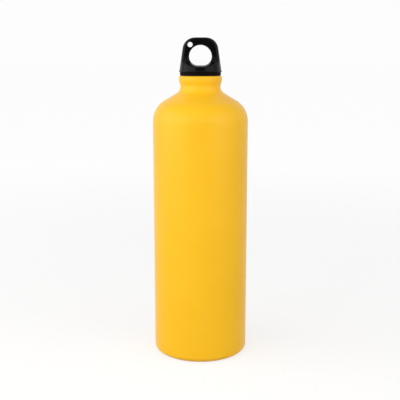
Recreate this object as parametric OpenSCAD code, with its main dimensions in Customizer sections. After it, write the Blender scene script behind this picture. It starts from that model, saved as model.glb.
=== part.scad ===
// One-litre aluminium fuel bottle with a screw stopper that carries a loop.
// The bottle stands on z = 0 and its axis is +Z. The hole of the loop runs along Y.
// All sizes are in millimetres.

/* [Bottle] */
// Diameter of the straight wall
body_d = 80; // [70:0.5:95]
// Height at which the straight wall ends and the shoulder begins
wall_top = 200.5; // [120:0.5:260]
// Thickness of the aluminium
wall = 1; // [0.8:0.05:1.3]
// Radius of the corner between the wall and the base
base_corner_r = 4.8; // [3:0.1:8]
// Width of the flat ring that the bottle stands on
stand_w = 4.2; // [2:0.1:7]
// Height of the dome that is pressed up into the base
dome_rise = 6; // [3:0.5:10]
// Radius of the rounded shoulder
shoulder_r = 19.9; // [14:0.1:22]
// Slope of the cone between shoulder and neck, in degrees from the horizontal
shoulder_slope = 30.9; // [24:0.1:40]

/* [Neck] */
// Radius of the groove round the neck
groove_r = 6.6; // [5:0.1:8]
// How far the collar stands out from the bottom of the groove
collar_flare = 1.3; // [0.9:0.05:1.7]
// Height of the collar's widest place above the middle of the groove
collar_rise = 6.2; // [5.4:0.1:7.5]
// Height of the straight band of the collar
collar_band = 1; // [0.5:0.1:3]
// Outer radius of the rolled rim
rim_r = 1.8; // [1.4:0.1:2.4]
// Reach of the rolled rim, from the outside of the collar to the mouth
rim_lip = 2.7; // [2.5:0.1:3.1]

/* [Thread] */
// Outer diameter of the thread on the plug
thread_d = 28.2; // [27:0.1:33]
// Depth of the thread
thread_depth = 1.2; // [0.8:0.05:1.4]
// Rise of the stopper in one turn
thread_lead = 4; // [3:0.1:5]
// Angle of the thread's flanks
thread_flank = 30; // [20:1:35]
// Radial clearance of the thread
thread_gap = 0.25; // [0.2:0.05:0.35]
// Axial clearance of the thread
flank_gap = 0.3; // [0.2:0.05:0.5]

/* [Thread ring] */
// Wall of the ring behind its thread
ring_wall = 1.4; // [1:0.1:2]
// Reach of the ring below the middle of the neck's groove
ring_drop = 4; // [2:0.1:6]
// Thickness of the flat seal under the rolled rim
seal_h = 1; // [0.6:0.1:1.5]

/* [Stopper] */
// How far the foot of the skirt lies inside the collar
skirt_inset = 0.4; // [0.2:0.1:0.8]
// Height of the upright front of the skirt
skirt_h = 4.2; // [3.6:0.1:5]
// How far the bead at the foot of the skirt stands out
bead = 0.2; // [0.1:0.05:0.5]
// Height of the bead
bead_h = 0.9; // [0.5:0.1:2]
// Taper of the stopper's sides, in degrees from the vertical
cap_taper = 8.4; // [5:0.1:9]
// Slope of the deck between skirt and loop, in degrees
deck_slope = 24; // [18:0.5:28]
// Radius of the fillet between deck and loop
deck_fillet = 4; // [2:0.1:5]
// Thickness of the loop
loop_t = 10.4; // [8:0.1:13]
// Radius of the upper corners of the loop
loop_corner_r = 10; // [8:0.1:11]
// Radius of the edge along the top of the loop
loop_edge_r = 2; // [1:0.1:3.5]
// Height of the band above the big hole
loop_band = 6.1; // [5.6:0.1:9]
// Width of the big hole in the loop
hole_w = 18.8; // [17:0.1:20]
// Depth of the big hole's floor below its middle
hole_floor = 7.2; // [6:0.1:8.2]
// Thickness of the web between the big hole and the plug's spigot
floor_web = 2.25; // [1.5:0.05:4]
// Diameter of the lanyard hole
lanyard_d = 4.2; // [3:0.1:4.6]
// Width of the web between the lanyard hole and the outer edge of the loop
lanyard_web = 2.3; // [1.6:0.1:2.8]
// Direction of the lanyard hole from the middle of the loop's corner, in degrees
lanyard_angle = 49; // [45:1:60]

/* [Gasket] */
// Thickness of the stopper's gasket
gasket_h = 2.65; // [1.5:0.05:4]
// How far the gasket lies inside the foot of the skirt
gasket_inset = 0.6; // [0.3:0.1:1]

/* [Plug] */
// Reach of the plug below the rim of the bottle
plug_reach = 15.4; // [12:0.1:20]
// Wall of the hollow plug
plug_wall = 1.8; // [1.5:0.1:2.4]
// How far the plug's neck stands out from the root of its thread
neck_step = 0.4; // [0.2:0.05:0.6]
// How far the spigot that joins the plug to the stopper stands out from the plug's neck
spigot_step = 1.5; // [1:0.1:2]
// Height of the spigot
spigot_h = 3.2; // [2.4:0.1:5]
// Thickness of the disc that closes the plug
disc_h = 1.6; // [1:0.1:3]
// Width of the step that the disc seats on
disc_step = 0.7; // [0.4:0.05:0.9]
// Chamfer at the end of the plug
plug_chamfer = 0.6; // [0.3:0.1:0.9]
// Width of the vent slot across the plug's thread
vent_w = 3; // [2:0.1:6]
// Depth of the vent slot below the root of the thread
vent_depth = 0.4; // [0.2:0.05:0.6]

/* [Hidden] */
$fn = 96;

paint_yellow = [0.99, 0.74, 0.17];
bare_metal = [0.78, 0.79, 0.80];
seal_grey = [0.45, 0.45, 0.47];
rubber_black = [0.09, 0.09, 0.09];
cap_black = [0.06, 0.06, 0.065];
plug_white = [0.90, 0.90, 0.88];

// Clearance between pieces that are pressed or trapped together
fit_gap = 0.05;
// Clearance between the gasket and the rim that it seals on
seal_gap = 0.1;
// How far a cutter runs past the face that it cuts
over = 1;

body_r = body_d / 2;

// The dome's circle meets the inner edge of the standing ring
dome_half = body_r - base_corner_r - stand_w;
dome_r = (dome_half * dome_half + dome_rise * dome_rise) / (2 * dome_rise);

// Thread radii: root and crest on the plug, bore and crest in the ring
plug_crest_r = thread_d / 2;
plug_root_r = plug_crest_r - thread_depth;
ring_bore_r = plug_crest_r + thread_gap;
ring_crest_r = plug_root_r + thread_gap;
mesh_r = (plug_root_r + ring_bore_r) / 2;
// Half width of both ridges at the radius where they mesh, and at their feet
mesh_half = (thread_lead / 2 - flank_gap) / 2;
ridge_half = mesh_half + (mesh_r - plug_root_r) * tan(thread_flank);
// Stations along a ridge in one turn, and the depth of its foot in the wall
ridge_steps = 36;
ridge_foot = 0.6;
// Part of a turn over which a ridge runs out at its ends
ridge_runout = 0.12;

// The neck closes round the thread ring
ring_sleeve_r = ring_bore_r + ring_wall;
waist_r = ring_sleeve_r + fit_gap + wall;
collar_r = waist_r + collar_flare;
mouth_r = collar_r - rim_lip;

// The shoulder's arc ends where the cone begins
shoulder_x = body_r - shoulder_r;
cone_foot = [shoulder_x + shoulder_r * sin(shoulder_slope), wall_top + shoulder_r * cos(shoulder_slope)];
// The cone ends where it touches the circle of the neck's groove
groove_x = waist_r + groove_r;
cone_top_x = groove_x - groove_r * sin(shoulder_slope);
cone_top_z = cone_foot[1] + (cone_foot[0] - cone_top_x) * tan(shoulder_slope);
groove_z = cone_top_z + groove_r * cos(shoulder_slope);
// The groove's circle touches the circle of the collar
flare_sum = (collar_flare * collar_flare + collar_rise * collar_rise) / (2 * collar_flare);
collar_arc_r = flare_sum - groove_r;
collar_arc_x = collar_r - collar_arc_r;
collar_z = groove_z + collar_rise;
rim_z = collar_z + collar_band + rim_r;

// The thread ring lies between the neck's groove and the seal under the rolled rim
seal_top = rim_z - wall - fit_gap;
ring_top = seal_top - seal_h - fit_gap;
ring_foot = groove_z - ring_drop;
ring_chamfer = 0.5;

// The plug hangs in the thread ring
plug_foot = rim_z - plug_reach;
plug_neck_r = plug_root_r + neck_step;
plug_inner_r = plug_root_r - plug_wall;
plug_thread_top = rim_z - wall;

// The stopper stands on the gasket, which seals on the rim
gasket_z = rim_z + seal_gap;
skirt_z = gasket_z + gasket_h + fit_gap;
skirt_r = collar_r - skirt_inset;
gasket_r = skirt_r - gasket_inset;
gasket_inner_r = plug_neck_r + seal_gap;
spigot_r = plug_neck_r + spigot_step;
spigot_top = skirt_z + spigot_h;

// The big hole lies over the spigot, and the loop closes over the hole
hole_r = hole_w / 2;
hole_z = spigot_top + fit_gap + floor_web + hole_floor;
cap_top = hole_z + hole_r + loop_band;
cap_h = cap_top - skirt_z;
// The upper corner's circle touches the tapered side and the flat top
corner_z = cap_top - loop_corner_r;
corner_end = [loop_corner_r * cos(cap_taper), loop_corner_r * sin(cap_taper)];
corner_x = skirt_r - (corner_z + corner_end[1] - skirt_z) * tan(cap_taper) - corner_end[0];
// The lanyard hole follows the corner
lanyard_reach = loop_corner_r - lanyard_web - lanyard_d / 2;
lanyard_x = corner_x + lanyard_reach * cos(lanyard_angle);
lanyard_z = corner_z + lanyard_reach * sin(lanyard_angle);
// The deck rises from the skirt's front to the fillet of the loop
deck_z = skirt_z + skirt_h;
deck_front = skirt_r - skirt_h * tan(cap_taper);
fillet_y = loop_t / 2 + deck_fillet;
fillet_foot = fillet_y - deck_fillet * sin(deck_slope);
fillet_z = deck_z + (deck_front - fillet_foot) * tan(deck_slope) + deck_fillet * cos(deck_slope);

// Everything inside the bottle's outline, drawn in by an even amount.
// The discs lie inside the straight pieces that they touch, so that all pieces overlap.
module bottle_outline(inset) {
    meet_z = groove_z + collar_rise * (groove_r + inset) / flare_sum;
    cone_z = groove_z - (groove_r + inset) * cos(shoulder_slope);
    cone_x = groove_x - (groove_r + inset) * sin(shoulder_slope);
    intersection() {
        square([body_r, rim_z]);
        union() {
            difference() {
                union() {
                    translate([0, inset])
                        square([body_r - base_corner_r, 2 * base_corner_r]);
                    translate([body_r - base_corner_r, base_corner_r])
                        circle(base_corner_r - inset);
                    translate([0, base_corner_r])
                        square([body_r - inset, wall_top - base_corner_r]);
                    translate([shoulder_x, wall_top])
                        circle(shoulder_r - inset);
                    polygon([
                        [0, wall_top - over],
                        [shoulder_x, wall_top - over],
                        [shoulder_x, wall_top],
                        cone_foot - inset * [sin(shoulder_slope), cos(shoulder_slope)],
                        [cone_x, cone_z],
                        [cone_x, meet_z],
                        [0, meet_z]
                    ]);
                }
                translate([groove_x, groove_z])
                    circle(groove_r + inset);
                translate([0, dome_rise - dome_r])
                    circle(dome_r + inset);
            }
            translate([0, groove_z])
                square([collar_arc_x, collar_rise + collar_band]);
            intersection() {
                translate([collar_arc_x, collar_z])
                    circle(collar_arc_r - inset);
                square([collar_r, collar_z + collar_band / 2]);
            }
            translate([0, collar_z])
                square([collar_r - inset, collar_band]);
            translate([0, collar_z])
                square([collar_r - rim_r, collar_band + rim_r - inset]);
            translate([collar_r - rim_r, rim_z - rim_r])
                circle(rim_r - inset);
        }
    }
}

// A right-handed thread ridge from one height to another. It stands on wall_r and points to crest_r.
// ref_z is a height at which its middle crosses the X axis.
module thread_ridge(low_z, high_z, ref_z, wall_r, crest_r) {
    out = crest_r > wall_r ? 1 : -1;
    foot_r = wall_r - out * ridge_foot;
    tip_r = wall_r - out * fit_gap;
    runout = thread_lead * ridge_runout;
    steps = ceil((high_z - low_z) / thread_lead * ridge_steps);
    function height(i) = low_z + (high_z - low_z) * i / steps;
    function grown(z) = min(1, (z - low_z) / runout, (high_z - z) / runout);
    function top_r(z) = tip_r + (crest_r - tip_r) * grown(z);
    function half(r) = mesh_half + out * (mesh_r - r) * tan(thread_flank);
    function spot(r, dz, z) = let (a = 360 * (z - ref_z) / thread_lead) [r * cos(a), r * sin(a), z + dz];
    function ring(z) = let (r = top_r(z), foot_half = half(wall_r) * out, tip_half = half(r) * out) [
        spot(foot_r, -foot_half, z),
        spot(r, -tip_half, z),
        spot(r, tip_half, z),
        spot(foot_r, foot_half, z)
    ];
    points = [for (i = [0 : steps]) each ring(height(i))];
    sides = [for (i = [0 : steps - 1], j = [0 : 3])
        let (a = 4 * i, b = (j + 1) % 4)
        each [[a + j, a + b, a + 4 + b], [a + j, a + 4 + b, a + 4 + j]]];
    polyhedron(points, concat(sides, [[3, 2, 1], [3, 1, 0]],
        [[4 * steps, 4 * steps + 1, 4 * steps + 2], [4 * steps, 4 * steps + 2, 4 * steps + 3]]));
}

// Seamless body: domed base, straight wall, shoulder, grooved neck and a rim rolled in over the ring
module bottle_shell() {
    color(paint_yellow)
        rotate_extrude()
            difference() {
                bottle_outline(0);
                bottle_outline(wall);
                translate([0, rim_z - wall - over])
                    square([mouth_r, wall + 2 * over]);
            }
}

// Threaded ring, held between the neck's groove and the rolled rim
module neck_thread_ring() {
    color(bare_metal)
        union() {
            rotate_extrude()
                difference() {
                    union() {
                        intersection() {
                            bottle_outline(wall + fit_gap);
                            translate([0, groove_z])
                                square([collar_r, ring_top - groove_z]);
                        }
                        translate([0, ring_foot])
                            square([ring_sleeve_r, ring_drop + over]);
                    }
                    translate([0, ring_foot - over])
                        square([ring_bore_r, ring_top - ring_foot + 2 * over]);
                    polygon([
                        [0, ring_top + over],
                        [ring_bore_r + ring_chamfer + over, ring_top + over],
                        [ring_bore_r - over, ring_top - ring_chamfer - over],
                        [0, ring_top - ring_chamfer - over]
                    ]);
                }
            thread_ridge(ring_foot + ridge_half, ring_top - ring_chamfer - ridge_half,
                rim_z + thread_lead / 2, ring_bore_r, ring_crest_r);
        }
}

// Flat seal between the thread ring and the rolled rim
module thread_ring_seal() {
    color(seal_grey)
        rotate_extrude()
            intersection() {
                bottle_outline(wall + fit_gap);
                translate([mouth_r, seal_top - seal_h])
                    square([collar_r - mouth_r, seal_h]);
            }
}

// Half of the stopper's front outline: bead, tapered side, round corner and flat top
module cap_outline() {
    intersection() {
        translate([0, skirt_z])
            square([skirt_r + bead, cap_h]);
        union() {
            polygon([
                [0, skirt_z],
                [skirt_r, skirt_z],
                [corner_x + corner_end[0], corner_z + corner_end[1]],
                [corner_x, corner_z + corner_end[1]],
                [corner_x, cap_top],
                [0, cap_top]
            ]);
            translate([corner_x, corner_z])
                circle(loop_corner_r);
            translate([0, skirt_z])
                square([skirt_r + bead, bead_h]);
        }
    }
}

// Half of the stopper's side outline: skirt, sloping deck, fillet and upright loop
module cap_side() {
    deck_run = skirt_r + bead - fillet_foot;
    fillet_foot_z = fillet_z - deck_fillet * cos(deck_slope);
    union() {
        difference() {
            polygon([
                [-over, skirt_z],
                [skirt_r + bead, skirt_z],
                [skirt_r + bead, fillet_foot_z - deck_run * tan(deck_slope)],
                [fillet_foot, fillet_foot_z],
                [fillet_foot, fillet_z],
                [-over, fillet_z]
            ]);
            translate([fillet_y, fillet_z])
                circle(deck_fillet);
        }
        translate([-over, skirt_z])
            square([loop_t / 2 + over, cap_h - loop_edge_r]);
        translate([-over, skirt_z])
            square([loop_t / 2 - loop_edge_r + over, cap_h]);
        translate([loop_t / 2 - loop_edge_r, cap_top - loop_edge_r])
            circle(loop_edge_r);
    }
}

// The big hole of the loop: round above its middle, flat with round corners below
module loop_hole() {
    corner = hole_r - hole_floor;
    union() {
        intersection() {
            circle(hole_r);
            translate([-hole_r, 0])
                square([hole_w, hole_w]);
        }
        for (side = [-1, 1])
            translate([side * corner, 0])
                circle(hole_floor);
        translate([-corner, -hole_floor])
            square([2 * corner, 2 * hole_floor]);
    }
}

// Stopper moulding: round skirt, deck and upright loop with its two holes
module stopper_cap() {
    reach = skirt_r + bead + over;
    color(cap_black)
        difference() {
            intersection() {
                rotate_extrude()
                    cap_outline();
                translate([-reach, 0, 0])
                    rotate([90, 0, 90])
                        linear_extrude(2 * reach)
                            union() {
                                cap_side();
                                mirror([1, 0])
                                    cap_side();
                            }
            }
            translate([0, reach, hole_z])
                rotate([90, 0, 0])
                    linear_extrude(2 * reach)
                        loop_hole();
            translate([-lanyard_x, 0, lanyard_z])
                rotate([90, 0, 0])
                    cylinder(h = 2 * reach, d = lanyard_d, center = true);
            translate([0, 0, skirt_z - over])
                cylinder(h = spigot_h + fit_gap + over, r = spigot_r + fit_gap);
        }
}

// Hollow plug with its thread, its vent slot, the gasket's neck and the spigot that the stopper holds
module stopper_plug() {
    color(plug_white)
        difference() {
            union() {
                rotate_extrude()
                    difference() {
                        polygon([
                            [0, plug_foot],
                            [plug_root_r - plug_chamfer, plug_foot],
                            [plug_root_r, plug_foot + plug_chamfer],
                            [plug_root_r, plug_thread_top],
                            [plug_neck_r, plug_thread_top],
                            [plug_neck_r, skirt_z],
                            [spigot_r, skirt_z],
                            [spigot_r, spigot_top],
                            [0, spigot_top]
                        ]);
                        translate([0, plug_foot])
                            square([plug_inner_r, spigot_top - plug_wall - plug_foot]);
                        translate([0, plug_foot - over])
                            square([plug_inner_r + disc_step, disc_h + over]);
                    }
                thread_ridge(plug_foot + plug_chamfer + ridge_half, plug_thread_top - ridge_half,
                    rim_z, plug_root_r, plug_crest_r);
            }
            translate([plug_root_r - vent_depth, -vent_w / 2, plug_foot - over])
                cube([thread_depth + vent_depth + over, vent_w, plug_thread_top - plug_foot + over]);
        }
}

// Disc that closes the foot of the hollow plug
module plug_end_disc() {
    color(plug_white)
        translate([0, 0, plug_foot])
            cylinder(h = disc_h - fit_gap, r = plug_inner_r + disc_step - fit_gap);
}

// Ring seal that the stopper presses on the rim
module cap_gasket() {
    color(rubber_black)
        translate([0, 0, gasket_z])
            difference() {
                cylinder(h = gasket_h, r = gasket_r);
                translate([0, 0, -over])
                    cylinder(h = gasket_h + 2 * over, r = gasket_inner_r);
            }
}

bottle_shell();
neck_thread_ring();
thread_ring_seal();
stopper_cap();
stopper_plug();
plug_end_disc();
cap_gasket();
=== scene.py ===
"""Camping fuel bottle: yellow painted aluminium with a black screw stopper that carries a loop.

Shapes are worked out in millimetres and stored in metres. The bottle stands on z = 0 and its axis is +Z.
"""
import math
from functools import reduce
from itertools import product

import bpy
import numpy as np
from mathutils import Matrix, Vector


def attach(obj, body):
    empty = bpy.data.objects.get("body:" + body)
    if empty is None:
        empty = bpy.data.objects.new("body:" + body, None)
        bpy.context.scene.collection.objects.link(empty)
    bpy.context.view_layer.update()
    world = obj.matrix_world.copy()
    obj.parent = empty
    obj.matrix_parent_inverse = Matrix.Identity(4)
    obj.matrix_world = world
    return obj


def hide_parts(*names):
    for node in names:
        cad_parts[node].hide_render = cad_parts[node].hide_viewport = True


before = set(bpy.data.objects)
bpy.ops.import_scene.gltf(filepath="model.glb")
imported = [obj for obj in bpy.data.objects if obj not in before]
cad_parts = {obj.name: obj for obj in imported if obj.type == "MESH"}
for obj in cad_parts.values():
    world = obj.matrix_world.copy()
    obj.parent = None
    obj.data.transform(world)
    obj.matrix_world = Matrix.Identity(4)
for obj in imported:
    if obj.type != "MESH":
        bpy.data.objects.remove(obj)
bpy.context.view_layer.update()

MM = 0.001

# Sizes of the bottle, as in the solids
BODY_R = 40.0
WALL_TOP = 200.5
WALL = 1.0
BASE_CORNER_R = 4.8
STAND_W = 4.2
STAND_EDGE = 1.6
DOME_RISE = 6.0
SHOULDER_R = 19.9
SHOULDER_SLOPE = math.radians(30.9)
GROOVE = (23.4, 229.408)
GROOVE_R = 6.6
COLLAR_R = 18.1
COLLAR_ARC_R = 8.835
COLLAR_Z = 235.608
COLLAR_BAND = 1.0
RIM_R = 1.8
RIM_Z = COLLAR_Z + COLLAR_BAND + RIM_R
MOUTH_R = 15.4
LIP_EDGE = 0.45
PAINT_END_R = 16.9

# Sizes of the stopper, as in the solids
SKIRT_Z = 241.208
SKIRT_R = 17.7
SKIRT_H = 4.2
CAP_TAPER = math.radians(8.4)
CAP_TOP = 269.408
LOOP_T = 10.4
LOOP_CORNER = (4.904, 259.408)
LOOP_CORNER_R = 10.0
DECK_SLOPE = math.radians(24)
HOLE_Z = 253.908
HOLE_R = 9.4
HOLE_FLOOR = 7.2
LANYARD = (-8.578, 263.635)
LANYARD_R = 2.1
SOCKET_R = 14.85
SOCKET_TOP = 244.458

# Bead round the stopper's foot, and radii of the moulding's edges and fillets
BEAD = 0.2
BEAD_H = 0.9
BEAD_EDGE = 0.15
BEAD_FILLET = 0.2
DECK_FILLET = 4.0
SKIRT_EDGE = 0.35
LOOP_EDGE = 1.7
HOLE_EDGE = 1.2
LANYARD_EDGE = 0.4
FOOT_EDGE = 0.3

# Sizes of the plug and its thread, as in the solids
PLUG_FOOT = RIM_Z - 15.4
PLUG_CHAMFER = 0.6
THREAD_TOP = RIM_Z - WALL
ROOT_R = 12.9
CREST_R = 14.1
THREAD_LEAD = 4.0
THREAD_FLANK = math.radians(30)
THREAD_RUNOUT = 0.48
# How far the ridge sinks into the shaft past its ends, as a share of its height
THREAD_SUNK = 0.5
# Half width of the thread's ridge, and the radius at which it has that width
RIDGE_HALF = 0.85
RIDGE_R = 13.625
RIDGE_EDGE = 0.2
RIDGE_FILLET = 0.15
PLUG_NECK_R = 13.3
SPIGOT_R = 14.8
SPIGOT_TOP = SKIRT_Z + 3.2
PLUG_BORE_R = 11.1
PLUG_BORE_TOP = SPIGOT_TOP - 1.8
DISC_SEAT_R = 11.8
DISC_SEAT_H = 1.6
VENT_W = 3.0
VENT_R = ROOT_R - 0.4

# Gasket between stopper and rim: its heights and its inner and outer radius
GASKET_Z = (238.508, 241.158)
GASKET_R = (13.4, 17.1)
GASKET_EDGE = 0.5

# Steps round the turned pieces
BOTTLE_STEPS = 256
GASKET_STEPS = 192
# For the moulded pieces: the grid's cell, the rounds that even out its points, and the space round the piece
STOPPER_CELL = 0.37
STOPPER_ROUNDS = 4
PLUG_CELL = 0.3
PLUG_ROUNDS = 3
MARGIN = 1.0
# Times that each point is pulled onto the surface, before and after the points are evened out
FIRST_PULLS = 4
LAST_PULLS = 3

# Where in the noise the darkest and lightest colour and the lowest and highest roughness lie
COLOUR_STOPS = (0.3, 0.7)
ROUGH_STOPS = (0.25, 0.75)
# The mottles in a metre as a share of the grains, and the detail of both noises
MOTTLE_SHARE = 0.03
MOTTLE_DETAIL = 4.0
GRAIN_DETAIL = 2.0

# Camera fitted to the photograph, and the point that the lamps face, in metres
SENSOR_MM = 36
LENS_MM = 67.66
CAMERA_AT = (-0.00036, -0.6355, 0.2552)
CAMERA_DOWN = math.radians(10.92)
LOOK_AT = np.array([0, 0, 0.135])

# Background for the eye, and light from the surround at the horizon and overhead
BACKGROUND = 0.98
WORLD_LEVEL = (0.95, 0.2)
# Floor: its side in millimetres, its white for the light, and its grey and what it adds for the eye,
# both near the bottle and far from it
FLOOR_SIDE = 40000
FLOOR_WHITE = 0.4
FLOOR_GREY = (0.36, 0.1)
FLOOR_GLOW = (0.69, 0.93)
# Distances from the axis, in metres, at which the floor's grey and glow begin and cease to change
FLOOR_REACH = (0.15, 1.2)
# Dark card: its sides in millimetres, its place in metres and its grey
CARD_SIDES = (950, 1000)
CARD_AT = (0, -0.95, 0.3)
CARD_GREY = 0.02


# Outlines
def arc(centre, radius, start, end, steps):
    """Points of an arc, from start to end in degrees."""
    angles = np.radians(np.linspace(start, end, steps + 1))
    return [(centre[0] + radius * math.cos(a), centre[1] + radius * math.sin(a)) for a in angles]


def straight(start, end, steps):
    """Points along a line, without its first."""
    return [tuple(np.add(start, np.subtract(end, start) * i / steps)) for i in range(1, steps + 1)]


def bend(start, corner, end, steps):
    """Points of a smooth bend round a corner, without its ends."""
    start, corner, end = np.array(start), np.array(corner), np.array(end)
    shares = [i / steps for i in range(1, steps)]
    return [tuple((1 - t) ** 2 * start + 2 * t * (1 - t) * corner + t * t * end) for t in shares]


def wall_line(inset):
    """The bottle's outline from the rim down to the middle of the base, drawn in by an even amount."""
    slope = math.degrees(SHOULDER_SLOPE)
    collar_x = COLLAR_R - COLLAR_ARC_R
    meet = math.degrees(math.atan2(COLLAR_Z - GROOVE[1], GROOVE[0] - collar_x))
    corner_x = BODY_R - BASE_CORNER_R
    dome_half = corner_x - STAND_W
    dome_r = (dome_half ** 2 + DOME_RISE ** 2) / (2 * DOME_RISE)
    dome_end = math.degrees(math.acos((dome_half - STAND_EDGE) / (dome_r + inset)))
    line = arc((COLLAR_R - RIM_R, COLLAR_Z + COLLAR_BAND), RIM_R - inset, 90, 0, steps=10)
    line += arc((collar_x, COLLAR_Z), COLLAR_ARC_R - inset, 0, -meet, steps=12)
    line += arc(GROOVE, GROOVE_R + inset, 180 - meet, 270 - slope, steps=24)[1:]
    shoulder = arc((BODY_R - SHOULDER_R, WALL_TOP), SHOULDER_R - inset, 90 - slope, 0, steps=28)
    line += straight(line[-1], shoulder[0], steps=6) + shoulder[1:]
    line += straight(line[-1], (BODY_R - inset, BASE_CORNER_R), steps=40)
    line += arc((corner_x, BASE_CORNER_R), BASE_CORNER_R - inset, 0, -90, steps=14)[1:]
    edge = (dome_half + STAND_EDGE, inset)
    dome = arc((0, DOME_RISE - dome_r), dome_r + inset, dome_end, 90, steps=30)
    line += straight(line[-1], edge, steps=3)
    line += bend(edge, (dome_half, inset), dome[0], steps=8)
    return line + dome[:-1] + [(0.0, DOME_RISE + inset)]


# Meshes
def new_object(name, vertices, faces, materials):
    """A smooth mesh object from points in millimetres."""
    mesh = bpy.data.meshes.new(name)
    mesh.from_pydata((np.asarray(vertices) * MM).tolist(), [], [list(f) for f in faces])
    for material in materials:
        mesh.materials.append(material)
    mesh.polygons.foreach_set("use_smooth", [True] * len(mesh.polygons))
    mesh.update()
    obj = bpy.data.objects.new(name, mesh)
    bpy.context.collection.objects.link(obj)
    return obj


def lathe(name, line, steps, materials, closed=False):
    """Turns an outline of radius and height about the axis. A point on the axis becomes one vertex."""
    rings, vertices, faces = [], [], []
    turn = [2 * math.pi * i / steps for i in range(steps)]
    for r, z in line:
        if r == 0:
            rings.append([len(vertices)] * steps)
            vertices.append((0, 0, z))
        else:
            rings.append(list(range(len(vertices), len(vertices) + steps)))
            vertices += [(r * math.cos(a), r * math.sin(a), z) for a in turn]
    following = rings[1:] + rings[:1] if closed else rings[1:]
    for upper, lower in zip(rings, following):
        for i in range(steps):
            j = (i + 1) % steps
            corners = [upper[i], lower[i], lower[j], upper[j]]
            faces.append(list(dict.fromkeys(corners)))
    return new_object(name, vertices, faces, materials)


def onto_surface(field, points, rounds):
    """Moves points onto the surface on which the distance is zero."""
    probe, least_steep = 0.01, 0.05
    for _ in range(rounds):
        slope = np.stack([(field(points + d) - field(points - d)) / (2 * probe)
                          for d in np.eye(3) * probe], axis=1)
        steep = np.maximum((slope * slope).sum(axis=1), least_steep)
        points = points - (field(points) / steep)[:, None] * slope
    return points


def net_surface(field, low, high, cell, rounds):
    """Points and quads of the surface on which the distance is zero.

    Each cell of a grid that the surface crosses gets one point, and each edge of the grid
    that it crosses gets one quad. The rounds then even out the points along the surface.
    """
    axes = [np.arange(a, b + cell, cell) for a, b in zip(low, high)]
    inside = field(np.stack(np.meshgrid(*axes, indexing="ij"), axis=-1)) < 0
    count = np.array(inside.shape) - 1
    full = sum(inside[i:count[0] + i, j:count[1] + j, k:count[2] + k].astype(int)
               for i, j, k in product((0, 1), repeat=3))
    crossed = (full > 0) & (full < 8)
    index = np.full(count, -1)
    index[crossed] = np.arange(crossed.sum())
    points = np.array(low) + (np.argwhere(crossed) + 0.5) * cell
    step = np.eye(3, dtype=int)
    quads = []
    for axis in range(3):
        b, c = (axis + 1) % 3, (axis + 2) % 3
        near = inside.take(range(count[axis]), axis)
        far = inside.take(range(1, count[axis] + 1), axis)
        edges = np.argwhere(near != far)
        cells = [edges - step[b] - step[c], edges - step[c], edges, edges - step[b]]
        found = np.stack([index[tuple(q.T)] for q in cells], axis=1)
        turned = ~near[tuple(edges.T)]
        found[turned] = found[turned][:, ::-1]
        quads.append(found)
    quads = np.concatenate(quads)
    points = onto_surface(field, points, FIRST_PULLS)
    ends = np.concatenate([quads[:, [0, 1]], quads[:, [1, 2]], quads[:, [2, 3]], quads[:, [3, 0]]])
    near_count = np.bincount(ends[:, 0], minlength=len(points))[:, None]
    for _ in range(rounds):
        mean = np.stack([np.bincount(ends[:, 0], points[ends[:, 1], k], len(points))
                         for k in range(3)], axis=1) / near_count
        points = onto_surface(field, (points + mean) / 2, 1)
    return onto_surface(field, points, LAST_PULLS), quads


# Solids as distances to their surface, negative inside them
def overlap(*parts):
    """What lies in all of the solids."""
    return reduce(np.maximum, parts)


def together(*parts):
    """What lies in any of the solids."""
    return reduce(np.minimum, parts)


def round_cut(a, b, radius):
    """Overlap of two solids, with its edge rounded."""
    u, v = np.maximum(a + radius, 0), np.maximum(b + radius, 0)
    return np.minimum(-radius, np.maximum(a, b)) + np.sqrt(u * u + v * v)


def round_join(a, b, radius):
    """Both solids together, with a fillet between them."""
    return -round_cut(-a, -b, radius)


def bell_distance(rho, z):
    """The stopper's turned outline: tapered side with a bead, round corner, flat top and foot."""
    side = (rho - SKIRT_R + (z - SKIRT_Z) * math.tan(CAP_TAPER)) * math.cos(CAP_TAPER)
    across, up = rho - LOOP_CORNER[0], z - LOOP_CORNER[1]
    corner = np.hypot(across, up) - LOOP_CORNER_R
    outline = np.where(np.arctan2(up, across) > CAP_TAPER, corner, side)
    outline = np.where(across < 0, overlap(side, z - CAP_TOP), outline)
    bead = round_cut(rho - SKIRT_R - BEAD, z - SKIRT_Z - BEAD_H, BEAD_EDGE)
    return round_cut(round_join(outline, bead, BEAD_FILLET), SKIRT_Z - z, FOOT_EDGE)


def stopper_distance(point):
    """The stopper's moulding, with its loop, its two holes and the socket for the plug."""
    x, y, z = point[..., 0], np.abs(point[..., 1]), point[..., 2]
    rho = np.hypot(x, y)
    skirt_top = SKIRT_Z + SKIRT_H
    deck_front = SKIRT_R - SKIRT_H * math.tan(CAP_TAPER)
    deck = (z - skirt_top - (deck_front - y) * math.tan(DECK_SLOPE)) * math.cos(DECK_SLOPE)
    upright = round_join(y - LOOP_T / 2, deck, DECK_FILLET)
    share = np.clip((z - skirt_top) / DECK_FILLET, 0, 1)
    solid = round_cut(bell_distance(rho, z), upright, SKIRT_EDGE + (LOOP_EDGE - SKIRT_EDGE) * share)
    up, beside = z - HOLE_Z, np.maximum(np.abs(x) - HOLE_R + HOLE_FLOOR, 0)
    hole = np.where(up > 0, np.hypot(x, up) - HOLE_R, np.hypot(beside, up) - HOLE_FLOOR)
    solid = round_cut(solid, -hole, HOLE_EDGE)
    lanyard = np.hypot(x - LANYARD[0], z - LANYARD[1]) - LANYARD_R
    solid = round_cut(solid, -lanyard, LANYARD_EDGE)
    socket = overlap(rho - SOCKET_R, z - SOCKET_TOP)
    return round_cut(solid, -socket, FOOT_EDGE)


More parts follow.
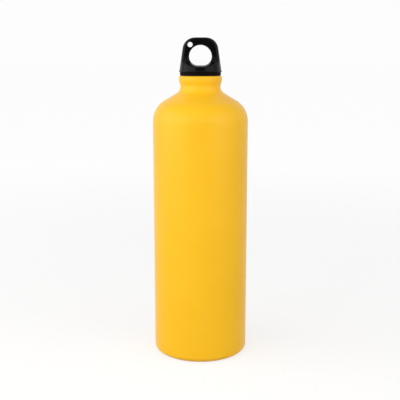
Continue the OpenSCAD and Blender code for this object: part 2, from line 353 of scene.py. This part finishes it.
def thread_distance(rho, angle, z):
    """The ridge of the plug's right-handed thread, which runs out at both ends."""
    foot_half = RIDGE_HALF + (RIDGE_R - ROOT_R) * math.tan(THREAD_FLANK)
    turns = (z - RIM_Z) / THREAD_LEAD - angle / (2 * math.pi)
    beside = (turns - np.round(turns)) * THREAD_LEAD
    low, high = PLUG_FOOT + PLUG_CHAMFER + foot_half, THREAD_TOP - foot_half
    grown = np.minimum(z - beside - low, high - z + beside) / THREAD_RUNOUT
    crest = ROOT_R + (CREST_R - ROOT_R) * np.clip(grown, -THREAD_SUNK, 1)
    half = RIDGE_HALF + (RIDGE_R - rho) * math.tan(THREAD_FLANK)
    return round_cut(rho - crest, (np.abs(beside) - half) * math.cos(THREAD_FLANK), RIDGE_EDGE)


def plug_distance(point):
    """The hollow plug, with its thread, vent slot, neck, spigot and the seat of its end disc."""
    x, y, z = point[..., 0], point[..., 1], point[..., 2]
    rho = np.hypot(x, y)
    shaft = round_join(rho - ROOT_R, thread_distance(rho, np.arctan2(y, x), z), RIDGE_FILLET)
    neck = overlap(rho - PLUG_NECK_R, THREAD_TOP - z)
    spigot = overlap(rho - SPIGOT_R, SKIRT_Z - z)
    chamfer = (rho - ROOT_R + PLUG_CHAMFER + PLUG_FOOT - z) * math.sqrt(0.5)
    solid = overlap(together(shaft, neck, spigot), chamfer, PLUG_FOOT - z, z - SPIGOT_TOP)
    vent = overlap(VENT_R - x, np.abs(y) - VENT_W / 2, z - THREAD_TOP)
    bore = overlap(rho - PLUG_BORE_R, z - PLUG_BORE_TOP)
    seat = overlap(rho - DISC_SEAT_R, z - PLUG_FOOT - DISC_SEAT_H)
    return overlap(solid, -together(vent, bore, seat))


# Materials
def node_adder(tree):
    """A function that adds a node to a tree, links or sets its inputs and makes its settings."""
    def add(kind, inputs, **settings):
        node = tree.nodes.new("ShaderNode" + kind)
        for key, value in settings.items():
            setattr(node, key, value)
        for key, value in inputs.items():
            if isinstance(value, bpy.types.NodeSocket):
                tree.links.new(value, node.inputs[key])
            else:
                node.inputs[key].default_value = value
        return node

    return add


def ramp(add, value, places, colours):
    """A colour ramp between two places, each with a colour."""
    node = add("ValToRGB", {"Fac": value})
    for element, place, colour in zip(node.color_ramp.elements, places, colours):
        element.position = place
        element.color = (*colour, 1)
    return node.outputs["Color"]


def surface(name, colours, rough, relief, grain, specular=0.5, metallic=0.0, stretch=(1, 1, 1)):
    """A surface with mottled colour, and a finer grain in its roughness and its relief.

    colours are the darkest and lightest colour, rough the lowest and highest roughness,
    relief the height of the grain in metres, and grain how many grains there are in a metre.
    A stretch above 1 along an axis packs the grain closer there, and one below 1 draws it out.
    """
    material = bpy.data.materials.new(name)
    material.use_nodes = True
    tree = material.node_tree
    add = node_adder(tree)
    where = add("TexCoord", {}).outputs["Object"]
    drawn = add("Mapping", {"Vector": where, "Scale": stretch}).outputs["Vector"]
    broad = add("TexNoise", {"Vector": where, "Scale": grain * MOTTLE_SHARE, "Detail": MOTTLE_DETAIL})
    fine = add("TexNoise", {"Vector": drawn, "Scale": grain, "Detail": GRAIN_DETAIL}).outputs["Fac"]
    bump = add("Bump", {"Height": fine, "Distance": relief, "Strength": 1.0})
    shader = tree.nodes["Principled BSDF"]
    greys = [(level,) * 3 for level in rough]
    links = {"Base Color": ramp(add, broad.outputs["Fac"], COLOUR_STOPS, colours),
             "Roughness": ramp(add, fine, ROUGH_STOPS, greys),
             "Normal": bump.outputs["Normal"]}
    for key, socket in links.items():
        tree.links.new(socket, shader.inputs[key])
    shader.inputs["Metallic"].default_value = metallic
    shader.inputs["Specular IOR Level"].default_value = specular
    return material


paint = surface("yellow_paint", colours=((0.935, 0.505, 0.011), (0.96, 0.53, 0.015)), rough=(0.3, 0.38),
                relief=0.00001, grain=900, specular=0.22)
black = surface("black_plastic", colours=((0.002, 0.0022, 0.002), (0.003, 0.0032, 0.003)), rough=(0.2, 0.27),
                relief=0.000006, grain=2500, specular=0.1)
rubber = surface("black_rubber", colours=((0.0022, 0.0018, 0.0015), (0.004, 0.0034, 0.003)),
                 rough=(0.6, 0.75), relief=0.00002, grain=1500, specular=0.06)
metal = surface("bare_aluminium", colours=((0.74, 0.75, 0.76), (0.82, 0.83, 0.84)), rough=(0.22, 0.36),
                relief=0.000006, grain=1200, metallic=1.0, stretch=(0.05, 0.05, 3.0))
lacquer = surface("inside_lacquer", colours=((0.62, 0.43, 0.20), (0.70, 0.50, 0.25)), rough=(0.25, 0.33),
                  relief=0.000006, grain=500, metallic=0.7)
plastic = surface("white_plastic", colours=((0.74, 0.74, 0.71), (0.80, 0.80, 0.77)), rough=(0.36, 0.45),
                  relief=0.000008, grain=1800, specular=0.45)
seal = surface("grey_seal", colours=((0.16, 0.16, 0.17), (0.22, 0.22, 0.23)), rough=(0.6, 0.72),
               relief=0.00002, grain=1500, specular=0.3)


# Pieces
def belongs(piece, body, node):
    """The piece rides on a body and stands in for a CAD node, which it hides."""
    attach(piece, body)
    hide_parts(node)


def make_shell():
    """Painted body with its bare rolled lip and its lacquered inside."""
    outer, inner = wall_line(0), wall_line(WALL)
    lip_x = MOUTH_R + LIP_EDGE
    lip = arc((lip_x, RIM_Z - WALL + LIP_EDGE), LIP_EDGE, 270, 180, steps=6)
    lip += arc((lip_x, RIM_Z - LIP_EDGE), LIP_EDGE, 180, 90, steps=6)
    line = inner[::-1] + lip + outer
    inner_end, lip_end = len(inner) - 1, len(inner) + len(lip)
    skins = [paint, metal, lacquer]
    kinds = []
    for row, (r, z) in enumerate(line[:-1]):
        if row < inner_end:
            skin = lacquer
        elif row < lip_end or r < PAINT_END_R and z > COLLAR_Z:
            skin = metal
        else:
            skin = paint
        kinds += [skins.index(skin)] * BOTTLE_STEPS
    shell = lathe("bottle_body", line, BOTTLE_STEPS, skins)
    shell.data.polygons.foreach_set("material_index", kinds)
    belongs(shell, "bottle", "bottle_shell")


def moulded(name, field, radius, bottom, top, cell, rounds, material):
    """A piece round the axis, made from its distance."""
    reach = radius + MARGIN
    low, high = (-reach, -reach, bottom - MARGIN), (reach, reach, top + MARGIN)
    points, quads = net_surface(field, low, high, cell, rounds)
    return new_object(name, points, quads, [material])


def make_stopper():
    """Stopper moulding with rounded edges."""
    stopper = moulded("stopper_moulding", stopper_distance, SKIRT_R, SKIRT_Z, CAP_TOP,
                      STOPPER_CELL, STOPPER_ROUNDS, black)
    belongs(stopper, "stopper", "stopper_cap")


def make_plug():
    """Hollow screw plug with a smooth thread and a vent slot across it."""
    plug = moulded("plug_moulding", plug_distance, SPIGOT_R, PLUG_FOOT, SPIGOT_TOP,
                   PLUG_CELL, PLUG_ROUNDS, plastic)
    belongs(plug, "stopper", "stopper_plug")


def make_gasket():
    """Ring gasket with rounded edges."""
    low, high = GASKET_Z[0] + GASKET_EDGE, GASKET_Z[1] - GASKET_EDGE
    inner, outer = GASKET_R[0] + GASKET_EDGE, GASKET_R[1] - GASKET_EDGE
    corners = {(outer, high): 90, (outer, low): 0, (inner, low): -90, (inner, high): -180}
    line = [p for centre, start in corners.items()
            for p in arc(centre, GASKET_EDGE, start, start - 90, steps=6)]
    gasket = lathe("gasket_ring", line, GASKET_STEPS, [rubber], closed=True)
    belongs(gasket, "gasket", "cap_gasket")


def dress(node, material):
    """Gives a CAD node a better material."""
    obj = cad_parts[node]
    if not obj.material_slots:
        obj.data.materials.append(material)
    for place in obj.material_slots:
        place.material = material


make_shell()
make_stopper()
make_plug()
make_gasket()
dress("neck_thread_ring", metal)
dress("thread_ring_seal", seal)
dress("plug_end_disc", plastic)


# Stage: a pale floor, a pale surround, softboxes and a dark card round the camera
def seen_by_eye(add):
    """1 where the camera, gloss or glass looks, and 0 for the light on the object."""
    path = add("LightPath", {}).outputs
    either = add("Math", {0: path["Is Camera Ray"], 1: path["Is Glossy Ray"]}, operation="MAXIMUM")
    seen = add("Math", {0: either.outputs[0], 1: path["Is Transmission Ray"]}, operation="MAXIMUM")
    return seen.outputs[0]


def sheet(name, sides, material):
    """A flat piece of the stage."""
    x, y = sides[0] / 2, sides[1] / 2
    obj = new_object(name, [(-x, -y, 0), (x, -y, 0), (x, y, 0), (-x, y, 0)], [(0, 1, 2, 3)], [material])
    return obj


def by_distance(add, far, levels):
    """A value that changes smoothly from its level near the bottle to its level far from it."""
    inputs = {"Value": far, "From Min": FLOOR_REACH[0], "From Max": FLOOR_REACH[1],
              "To Min": levels[0], "To Max": levels[1]}
    return add("MapRange", inputs, interpolation_type="SMOOTHSTEP").outputs[0]


def make_floor():
    """Pale floor that keeps the bottle's shadow."""
    material = bpy.data.materials.new("floor")
    material.use_nodes = True
    tree = material.node_tree
    tree.nodes.remove(tree.nodes["Principled BSDF"])
    add = node_adder(tree)
    place = add("TexCoord", {}).outputs["Object"]
    far = add("VectorMath", {0: place}, operation="LENGTH").outputs["Value"]
    seen = seen_by_eye(add)
    grey = by_distance(add, far, FLOOR_GREY)
    shade = add("MapRange", {"Value": seen, "To Min": FLOOR_WHITE, "To Max": grey})
    strength = add("Math", {0: seen, 1: by_distance(add, far, FLOOR_GLOW)}, operation="MULTIPLY")
    diffuse = add("BsdfDiffuse", {"Color": shade.outputs[0]})
    glow = add("Emission", {"Strength": strength.outputs[0]})
    both = add("AddShader", {0: diffuse.outputs[0], 1: glow.outputs[0]})
    tree.links.new(both.outputs[0], tree.nodes["Material Output"].inputs["Surface"])
    sheet("floor", (FLOOR_SIDE, FLOOR_SIDE), material)


def make_world():
    """Light that falls off from the horizon upwards, and a white background where the eye sees it."""
    world = bpy.data.worlds.new("surround")
    bpy.context.scene.world = world
    world.use_nodes = True
    tree = world.node_tree
    add = node_adder(tree)
    place = add("TexCoord", {}).outputs["Generated"]
    height = add("SeparateXYZ", {0: place}).outputs["Z"]
    light = add("MapRange", {"Value": height, "To Min": WORLD_LEVEL[0], "To Max": WORLD_LEVEL[1]})
    level = add("MapRange", {"Value": seen_by_eye(add), "To Min": light.outputs[0], "To Max": BACKGROUND})
    background = tree.nodes["Background"]
    background.inputs["Color"].default_value = (1, 1, 1, 1)
    tree.links.new(level.outputs[0], background.inputs["Strength"])


def make_card():
    """Dark card round the camera, which only reflections show and which keeps the stopper's front dark."""
    material = bpy.data.materials.new("dark_card")
    material.use_nodes = True
    shader = material.node_tree.nodes["Principled BSDF"]
    shader.inputs["Base Color"].default_value = (CARD_GREY, CARD_GREY, CARD_GREY, 1)
    card = sheet("camera_card", CARD_SIDES, material)
    card.location = CARD_AT
    card.rotation_euler = (math.pi / 2, 0, 0)
    card.visible_camera = False
    card.visible_diffuse = False
    card.visible_shadow = False


def make_camera():
    """Camera fitted to the photograph."""
    data = bpy.data.cameras.new("camera")
    data.sensor_width = SENSOR_MM
    data.lens = LENS_MM
    camera = bpy.data.objects.new("camera", data)
    bpy.context.collection.objects.link(camera)
    camera.location = CAMERA_AT
    camera.rotation_euler = (math.pi / 2 - CAMERA_DOWN, 0, 0)
    bpy.context.scene.camera = camera


def lamp(name, azimuth, elevation, distance, width, height, radiance, glossy=True):
    """A softbox at an azimuth and elevation in degrees from the camera's side, which faces the bottle."""
    data = bpy.data.lights.new(name, "AREA")
    data.shape = "RECTANGLE"
    data.size = width
    data.size_y = height
    data.energy = radiance * math.pi * width * height
    obj = bpy.data.objects.new(name, data)
    bpy.context.collection.objects.link(obj)
    a, e = math.radians(azimuth), math.radians(elevation)
    back = np.array([math.sin(a) * math.cos(e), -math.cos(a) * math.cos(e), math.sin(e)])
    obj.location = LOOK_AT + back * distance
    obj.rotation_euler = Vector(-back).to_track_quat("-Z", "Y").to_euler()
    obj.visible_camera = False
    obj.visible_glossy = glossy


make_floor()
make_world()
make_card()
make_camera()
lamp("left_softbox", azimuth=-68, elevation=6, distance=1.3, width=1.9, height=1.9, radiance=1.8)
lamp("right_softbox", azimuth=52, elevation=6, distance=1.3, width=1.2, height=1.9, radiance=1.3)
lamp("front_fill", azimuth=-6, elevation=20, distance=0.62, width=0.6, height=0.4, radiance=1.25,
     glossy=False)
bpy.context.scene.view_settings.view_transform = "Standard"
